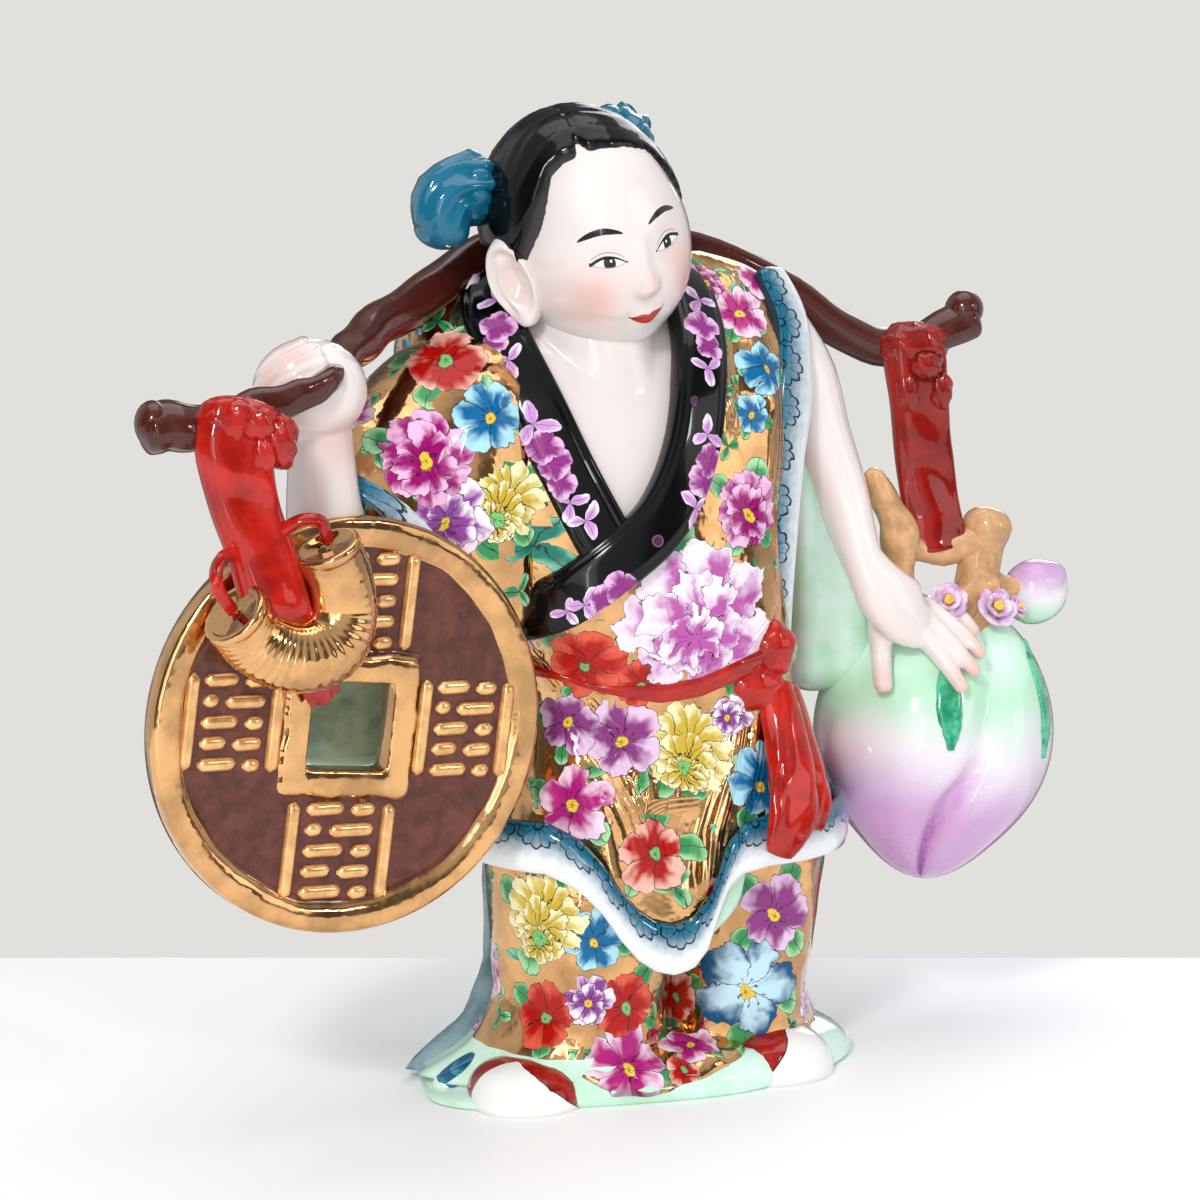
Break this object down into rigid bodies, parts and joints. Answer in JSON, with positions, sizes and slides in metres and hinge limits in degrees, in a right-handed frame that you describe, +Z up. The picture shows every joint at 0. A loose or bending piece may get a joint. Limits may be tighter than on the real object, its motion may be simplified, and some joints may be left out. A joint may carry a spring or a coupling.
{
  "type": "porcelain child figurine",
  "caption": "Standing porcelain child in a flowered robe, a pole across the shoulders with a pierced coin and a peach hung from its ends.",
  "frame": {"origin": "middle of the figure's bounding box, on the floor under its base", "axes": "+X to the child's left, +Y to its back, +Z up"},
  "size_m": [0.3114, 0.1334, 0.2888],
  "materials": {
    "porcelain": "white glazed porcelain with enamel painting and bright gold"
  },
  "bodies": {
    "root": {"porcelain_figure": "porcelain"}
  },
  "joints": []
}
